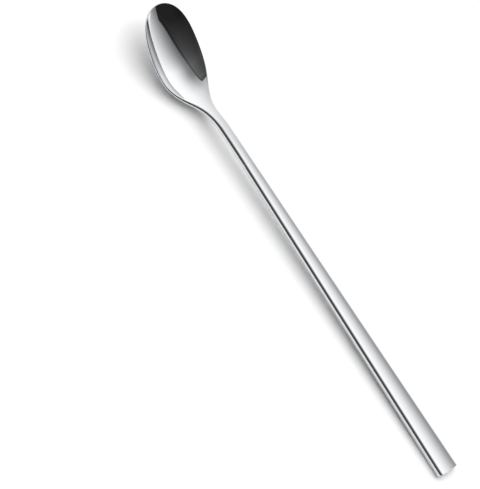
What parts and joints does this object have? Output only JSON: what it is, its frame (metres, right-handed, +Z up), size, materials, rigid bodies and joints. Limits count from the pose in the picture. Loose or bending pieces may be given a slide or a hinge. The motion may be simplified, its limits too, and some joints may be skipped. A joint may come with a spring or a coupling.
{
  "type": "iced tea spoon",
  "caption": "Long-handled iced tea spoon: an oval pressed bowl, a slim neck and a hollow tapered handle, in polished stainless steel.",
  "frame": {"origin": "centre of the footprint on the table, with the spoon lying as in the picture", "axes": "+X along the spoon from the bowl's tip to the handle's end, +Z up, +Y to the left when looking along +X"},
  "size_m": [0.23, 0.0262, 0.0152],
  "materials": {
    "bowl_steel": "mirror-polished 18/10 stainless steel",
    "upper_shell_steel": "mirror-polished 18/10 stainless steel",
    "lower_shell_steel": "mirror-polished 18/10 stainless steel",
    "braze": "rough silver braze alloy, hidden in the handle",
    "plug_steel": "polished steel end face, ground flush"
  },
  "bodies": {
    "root": {"bowl_and_neck": "bowl_steel", "handle_upper_shell": "upper_shell_steel", "handle_lower_shell": "lower_shell_steel", "tang_braze": "braze", "end_plug": "plug_steel"}
  },
  "joints": []
}
